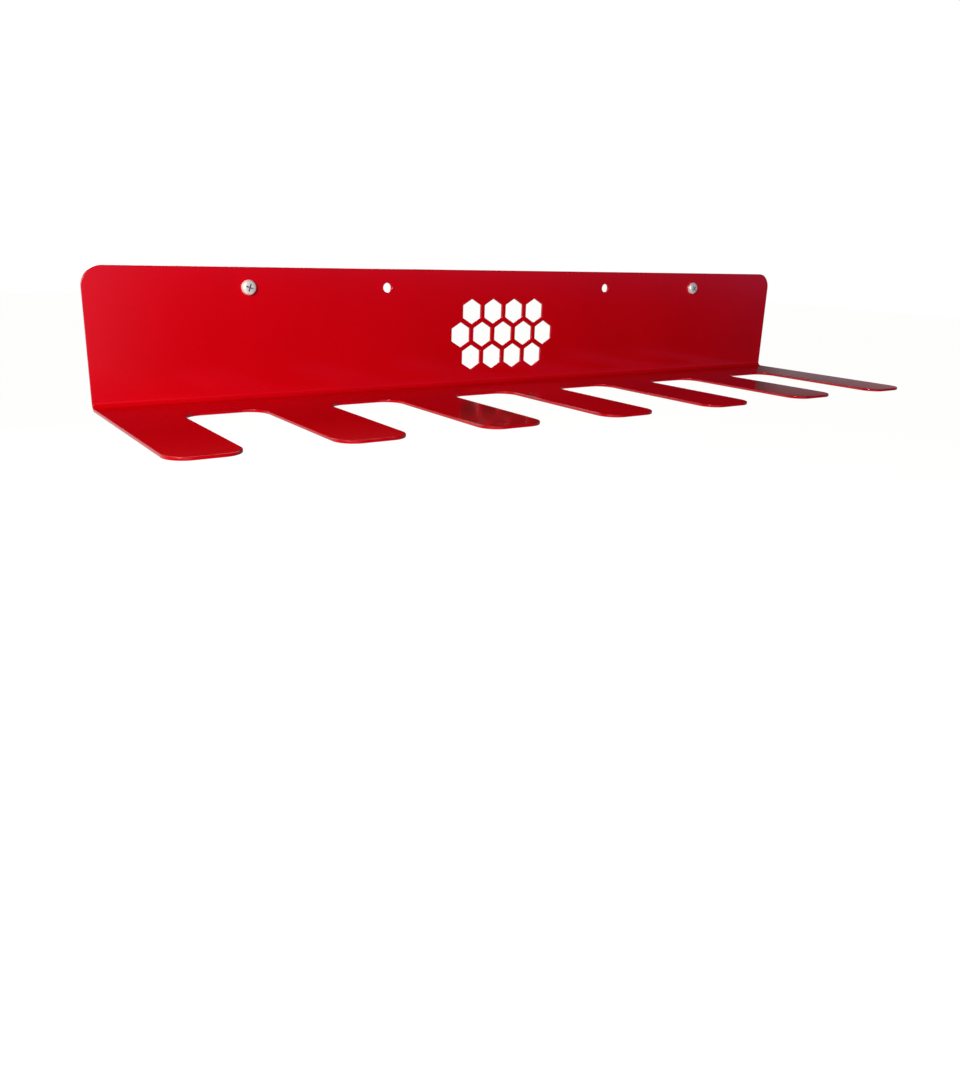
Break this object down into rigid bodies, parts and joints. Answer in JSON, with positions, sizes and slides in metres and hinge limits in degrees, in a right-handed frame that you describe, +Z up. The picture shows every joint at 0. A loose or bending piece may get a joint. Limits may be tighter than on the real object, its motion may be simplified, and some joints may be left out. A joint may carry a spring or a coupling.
{
  "type": "wall mounted power tool rack",
  "caption": "Bent sheet steel wall rack with a slotted shelf that holds upside-down cordless power tools by their battery feet, with its mounting screws.",
  "frame": {"origin": "on the wall plane, which is the back face of the upright plate, at the middle of the length and on the line of the wall holes", "axes": "+X along the rack to the right as seen from the room, +Y into the wall, +Z up; the shelf reaches out along -Y"},
  "size_m": [0.6096, 0.1905, 0.0859],
  "materials": {
    "red_powder_coat": "high gloss red powder coat on mild steel sheet",
    "zinc_screw": "bright zinc plated steel"
  },
  "bodies": {
    "root": {"tool_rack_plate": "red_powder_coat", "mounting_screw_left": "zinc_screw", "mounting_screw_right": "zinc_screw"}
  },
  "joints": []
}
